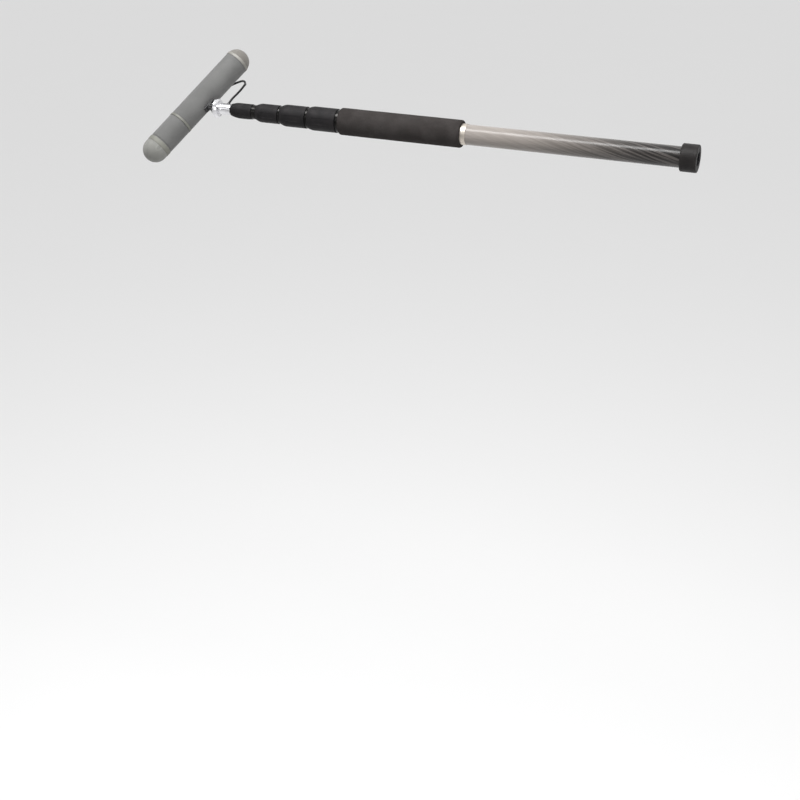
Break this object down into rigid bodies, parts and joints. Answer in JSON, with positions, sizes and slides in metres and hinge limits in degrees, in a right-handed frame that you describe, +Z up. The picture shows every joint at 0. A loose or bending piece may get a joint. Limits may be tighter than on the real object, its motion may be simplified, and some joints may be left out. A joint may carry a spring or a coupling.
{
  "type": "boom pole",
  "caption": "Telescoping microphone boom pole with a foam grip, twist-lock collars, a rubber butt cap and a tilting tip swivel that carries a slim tube windshield and its lead.",
  "frame": {"origin": "on the pole's axis at the bare tube behind the grip, 199.15 mm from the butt, where a cradle or clamp holds it", "axes": "+X along the pole towards the butt end, -X towards the tip and microphone, +Z up"},
  "size_m": [0.9105, 0.1886, 0.165],
  "materials": {
    "carbon": "clear-coated twisted carbon fibre tube, density near 1.5",
    "grip_foam": "matte closed-cell foam",
    "pale_alloy": "satin",
    "gloss_dark_alloy": "polished and anodised black",
    "bright_alloy": "polished",
    "cap_rubber": "satin moulded rubber",
    "plain_alloy": "turned",
    "steel": "plain",
    "dark_alloy": "black anodised",
    "nylon": "natural nylon",
    "black_plastic": "moulded",
    "contact_metal": "plated contacts",
    "cable_jacket": "flexible jacket",
    "collar_rubber": "matte moulded rubber",
    "black_metal": "black powder coat",
    "shield_mesh": "woven acoustic mesh on a moulded frame",
    "shield_band": "moulded band",
    "mic_finish": "black anodised",
    "plug_metal": "black plated",
    "clip_rubber": "soft moulded rubber"
  },
  "bodies": {
    "base_section": {"base_tube": "carbon", "foam_grip": "grip_foam", "grip_ring": "pale_alloy", "base_cap": "cap_rubber", "base_plug": "plain_alloy", "cap_screws": "steel", "socket_shell": "dark_alloy", "socket_insert": "black_plastic", "socket_pins": "contact_metal", "inner_cable": "cable_jacket", "ferrule_1": "gloss_dark_alloy", "collet_1": "nylon"},
    "lock_1": {"lock_nut_1": "dark_alloy", "collar_1": "collar_rubber"},
    "lock_2": {"lock_nut_2": "dark_alloy", "collar_2": "collar_rubber"},
    "lock_3": {"lock_nut_3": "dark_alloy", "collar_3": "collar_rubber"},
    "lock_4": {"lock_nut_4": "dark_alloy", "collar_4": "collar_rubber"},
    "section_2": {"tube_2": "carbon", "bush_2": "nylon", "ferrule_2": "gloss_dark_alloy", "collet_2": "nylon"},
    "section_3": {"tube_3": "carbon", "bush_3": "nylon", "ferrule_3": "gloss_dark_alloy", "collet_3": "nylon"},
    "section_4": {"tube_4": "carbon", "bush_4": "nylon", "ferrule_4": "gloss_dark_alloy", "collet_4": "nylon"},
    "section_5": {"tube_5": "carbon", "bush_5": "nylon", "tip_fitting": "bright_alloy", "exit_bush": "black_plastic", "tip_stud": "steel", "swivel_flange": "bright_alloy", "swivel_fork": "black_metal", "hinge_bolt": "black_metal"},
    "tilt_knob": {"tilt_knob": "black_metal"},
    "windshield": {"basket": "shield_mesh", "back_dome": "shield_mesh", "back_band": "shield_band", "split_band": "shield_band", "windshield_foot": "black_plastic", "foot_screws": "steel", "shock_rail": "black_plastic", "shock_clips": "clip_rubber", "microphone": "mic_finish", "lead_plug": "plug_metal", "lead_tail": "cable_jacket", "lead_gland": "black_plastic", "mic_lead": "cable_jacket"},
    "windshield_pod": {"front_pod": "shield_mesh", "front_dome": "shield_mesh", "front_band": "shield_band"}
  },
  "joints": [
    {"name": "section_2_slide", "type": "slide", "parent": "base_section", "child": "section_2", "axis": [-1, 0, 0], "range_m": [0, 0.515], "deforming": ["inner_cable"]},
    {"name": "section_3_slide", "type": "slide", "parent": "section_2", "child": "section_3", "axis": [-1, 0, 0], "range_m": [0, 0.555], "deforming": ["inner_cable"]},
    {"name": "section_4_slide", "type": "slide", "parent": "section_3", "child": "section_4", "axis": [-1, 0, 0], "range_m": [0, 0.595], "deforming": ["inner_cable"]},
    {"name": "section_5_slide", "type": "slide", "parent": "section_4", "child": "section_5", "axis": [-1, 0, 0], "range_m": [0, 0.635], "deforming": ["inner_cable"]},
    {"name": "lock_1_turn", "type": "hinge", "parent": "base_section", "child": "lock_1", "pos_m": [-0.41185, 0, 0], "axis": [-1, 0, 0], "range_deg": [0, 100]},
    {"name": "lock_2_turn", "type": "hinge", "parent": "section_2", "child": "lock_2", "pos_m": [-0.46425, 0, 0], "axis": [-1, 0, 0], "range_deg": [0, 100]},
    {"name": "lock_3_turn", "type": "hinge", "parent": "section_3", "child": "lock_3", "pos_m": [-0.51255, 0, 0], "axis": [-1, 0, 0], "range_deg": [0, 100]},
    {"name": "lock_4_turn", "type": "hinge", "parent": "section_4", "child": "lock_4", "pos_m": [-0.56085, 0, 0], "axis": [-1, 0, 0], "range_deg": [0, 100]},
    {"name": "windshield_tilt", "type": "hinge", "parent": "section_5", "child": "windshield", "pos_m": [-0.61785, 0, 0], "axis": [0, -0.6428, 0.766], "range_deg": [-20, 65], "deforming": ["mic_lead"]},
    {"name": "tilt_knob_turn", "type": "hinge", "parent": "section_5", "child": "tilt_knob", "pos_m": [-0.61785, 0, 0], "axis": [0, -0.6428, 0.766], "continuous": true},
    {"name": "pod_pull", "type": "slide", "parent": "windshield", "child": "windshield_pod", "axis": [-0.3971, -0.703, -0.5899], "range_m": [0, 0.08]}
  ]
}
